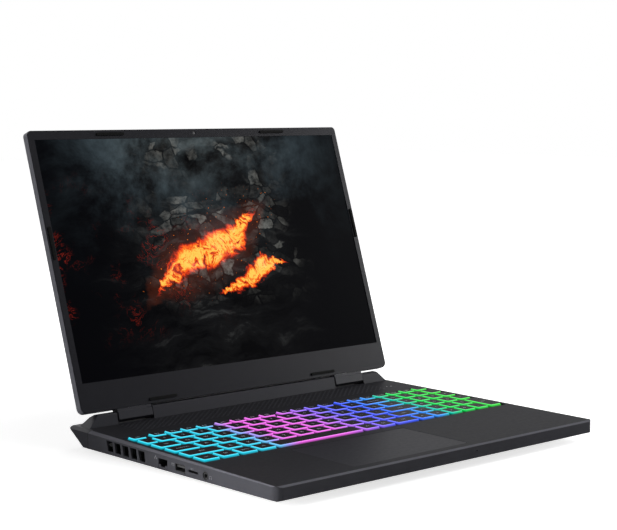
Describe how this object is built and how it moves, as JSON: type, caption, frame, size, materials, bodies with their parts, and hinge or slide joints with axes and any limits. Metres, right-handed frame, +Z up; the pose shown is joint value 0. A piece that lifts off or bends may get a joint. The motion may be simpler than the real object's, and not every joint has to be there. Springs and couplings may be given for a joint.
{
  "type": "laptop computer",
  "caption": "Clamshell laptop with a 16 inch screen on a friction hinge, full keyboard with number pad, clickable touchpad, fans, sockets and inner parts.",
  "frame": {"origin": "on the desk plane, in the middle of the underside of the long rear foot", "axes": "+X to the user's right, +Y to the back, +Z up; the lid stands open by 108.5 degrees at rest"},
  "size_m": [0.3602, 0.3473, 0.2692],
  "materials": {
    "case_plastic": "fine matt texture, charcoal",
    "rear_plastic": "fine matt texture, dark charcoal",
    "bottom_plastic": "matt black",
    "lid_plastic": "fine matt texture, charcoal",
    "surround_plastic": "matt black, faint texture",
    "screen_glass": "lit picture behind a matt film",
    "key_plastic": "black tops, clear lit sides",
    "touchpad_film": "smooth satin film",
    "rubber": "matt black",
    "plate_steel": "black painted steel",
    "bright_steel": "plated steel",
    "copper": "bare copper",
    "fin_aluminium": "bare aluminium",
    "board_green": "solder mask over copper",
    "chip_black": "moulded chip packages",
    "fan_plastic": "black moulded",
    "light_sheet": "clear light guide",
    "battery_wrap": "black film over pouch cells",
    "socket_metal": "nickel plated sheet",
    "socket_plastic": "black moulded",
    "antenna_foil": "gold coloured foil"
  },
  "bodies": {
    "base": {"top_case": "case_plastic", "bottom_cover": "bottom_plastic", "rear_housing": "rear_plastic", "hinge_cover": "case_plastic", "hinge_shoulders": "case_plastic", "keyboard_plate": "plate_steel", "backlight_sheet": "light_sheet", "touchpad_bracket": "bright_steel", "base_hinges": "bright_steel", "circuit_board": "board_green", "processors": "chip_black", "memory_modules": "board_green", "storage_drive": "chip_black", "wireless_card": "board_green", "battery": "battery_wrap", "speakers": "fan_plastic", "fan_housing_left": "fan_plastic", "fan_housing_right": "fan_plastic", "heat_pipes": "copper", "cooling_fins": "fin_aluminium", "cold_plates": "copper", "network_socket": "socket_plastic", "usb_socket_left": "socket_metal", "card_reader": "socket_metal", "headset_socket": "socket_plastic", "usb_sockets_right": "socket_metal", "rear_sockets": "socket_metal", "power_inlet": "socket_plastic", "rubber_feet": "rubber", "bottom_screws": "bright_steel"},
    "lid": {"lid_cover": "lid_plastic", "screen_surround": "surround_plastic", "display_panel": "screen_glass", "webcam_module": "fan_plastic", "lid_hinges": "bright_steel", "hinge_barrels": "lid_plastic", "display_cable": "fan_plastic", "lid_bumpers": "rubber", "antennas": "antenna_foil"},
    "left_fan": {"fan_rotor_left": "fan_plastic"},
    "right_fan": {"fan_rotor_right": "fan_plastic"},
    "touchpad": {"touchpad": "touchpad_film"},
    "network_jaw": {"network_jaw": "socket_plastic"},
    "escape_key": {"escape_key": "key_plastic"},
    "function_keys": {"function_keys": "key_plastic"},
    "power_key": {"power_key": "key_plastic"},
    "number_row_keys": {"number_row_keys": "key_plastic"},
    "backspace_key": {"backspace_key": "key_plastic"},
    "upper_letter_keys": {"upper_letter_keys": "key_plastic"},
    "home_letter_keys": {"home_letter_keys": "key_plastic"},
    "caps_lock_key": {"caps_lock_key": "key_plastic"},
    "enter_key": {"enter_key": "key_plastic"},
    "lower_letter_keys": {"lower_letter_keys": "key_plastic"},
    "left_shift_key": {"left_shift_key": "key_plastic"},
    "right_shift_key": {"right_shift_key": "key_plastic"},
    "arrow_keys": {"arrow_keys": "key_plastic"},
    "modifier_keys": {"modifier_keys": "key_plastic"},
    "space_bar": {"space_bar": "key_plastic"},
    "number_pad_keys": {"number_pad_keys": "key_plastic"},
    "pad_enter_key": {"pad_enter_key": "key_plastic"}
  },
  "joints": [
    {"name": "lid_hinge", "type": "hinge", "parent": "base", "child": "lid", "pos_m": [0, 0.021, 0.0245], "axis": [-1, 0, 0], "range_deg": [-108.5, 31.5]},
    {"name": "left_fan_spin", "type": "hinge", "parent": "base", "child": "left_fan", "pos_m": [-0.118, -0.044, 0.008], "axis": [0, 0, 1], "continuous": true},
    {"name": "right_fan_spin", "type": "hinge", "parent": "base", "child": "right_fan", "pos_m": [0.118, -0.044, 0.008], "axis": [0, 0, 1], "continuous": true},
    {"name": "touchpad_click", "type": "hinge", "parent": "base", "child": "touchpad", "pos_m": [-0.0323, -0.1555, 0.01885], "axis": [1, 0, 0], "range_deg": [0, 0.6], "stiffness_Nm_per_rad": 30, "springref_deg": -0.29},
    {"name": "network_jaw_hinge", "type": "hinge", "parent": "base", "child": "network_jaw", "pos_m": [-0.17925, -0.1, 0.00726], "axis": [0, -1, 0], "range_deg": [0, 60], "stiffness_Nm_per_rad": 0.004, "springref_deg": -20.05},
    {"name": "escape_key_press", "type": "slide", "parent": "base", "child": "escape_key", "axis": [0, 0, -1], "range_m": [0, 0.0013], "stiffness_N_per_m": 250, "springref_m": -0.0008},
    {"name": "function_keys_press", "type": "slide", "parent": "base", "child": "function_keys", "axis": [0, 0, -1], "range_m": [0, 0.0013], "stiffness_N_per_m": 4500, "springref_m": -0.0008},
    {"name": "power_key_press", "type": "slide", "parent": "base", "child": "power_key", "axis": [0, 0, -1], "range_m": [0, 0.0013], "stiffness_N_per_m": 250, "springref_m": -0.0008},
    {"name": "number_row_keys_press", "type": "slide", "parent": "base", "child": "number_row_keys", "axis": [0, 0, -1], "range_m": [0, 0.0013], "stiffness_N_per_m": 3250, "springref_m": -0.0008},
    {"name": "backspace_key_press", "type": "slide", "parent": "base", "child": "backspace_key", "axis": [0, 0, -1], "range_m": [0, 0.0013], "stiffness_N_per_m": 250, "springref_m": -0.0008},
    {"name": "upper_letter_keys_press", "type": "slide", "parent": "base", "child": "upper_letter_keys", "axis": [0, 0, -1], "range_m": [0, 0.0013], "stiffness_N_per_m": 3500, "springref_m": -0.0008},
    {"name": "home_letter_keys_press", "type": "slide", "parent": "base", "child": "home_letter_keys", "axis": [0, 0, -1], "range_m": [0, 0.0013], "stiffness_N_per_m": 2750, "springref_m": -0.0008},
    {"name": "caps_lock_key_press", "type": "slide", "parent": "base", "child": "caps_lock_key", "axis": [0, 0, -1], "range_m": [0, 0.0013], "stiffness_N_per_m": 250, "springref_m": -0.0008},
    {"name": "enter_key_press", "type": "slide", "parent": "base", "child": "enter_key", "axis": [0, 0, -1], "range_m": [0, 0.0013], "stiffness_N_per_m": 250, "springref_m": -0.0008},
    {"name": "lower_letter_keys_press", "type": "slide", "parent": "base", "child": "lower_letter_keys", "axis": [0, 0, -1], "range_m": [0, 0.0013], "stiffness_N_per_m": 2500, "springref_m": -0.0008},
    {"name": "left_shift_key_press", "type": "slide", "parent": "base", "child": "left_shift_key", "axis": [0, 0, -1], "range_m": [0, 0.0013], "stiffness_N_per_m": 250, "springref_m": -0.0008},
    {"name": "right_shift_key_press", "type": "slide", "parent": "base", "child": "right_shift_key", "axis": [0, 0, -1], "range_m": [0, 0.0013], "stiffness_N_per_m": 250, "springref_m": -0.0008},
    {"name": "arrow_keys_press", "type": "slide", "parent": "base", "child": "arrow_keys", "axis": [0, 0, -1], "range_m": [0, 0.0013], "stiffness_N_per_m": 1000, "springref_m": -0.0008},
    {"name": "modifier_keys_press", "type": "slide", "parent": "base", "child": "modifier_keys", "axis": [0, 0, -1], "range_m": [0, 0.0013], "stiffness_N_per_m": 1750, "springref_m": -0.0008},
    {"name": "space_bar_press", "type": "slide", "parent": "base", "child": "space_bar", "axis": [0, 0, -1], "range_m": [0, 0.0013], "stiffness_N_per_m": 250, "springref_m": -0.0008},
    {"name": "number_pad_keys_press", "type": "slide", "parent": "base", "child": "number_pad_keys", "axis": [0, 0, -1], "range_m": [0, 0.0013], "stiffness_N_per_m": 4250, "springref_m": -0.0008},
    {"name": "pad_enter_key_press", "type": "slide", "parent": "base", "child": "pad_enter_key", "axis": [0, 0, -1], "range_m": [0, 0.0013], "stiffness_N_per_m": 250, "springref_m": -0.0008}
  ]
}
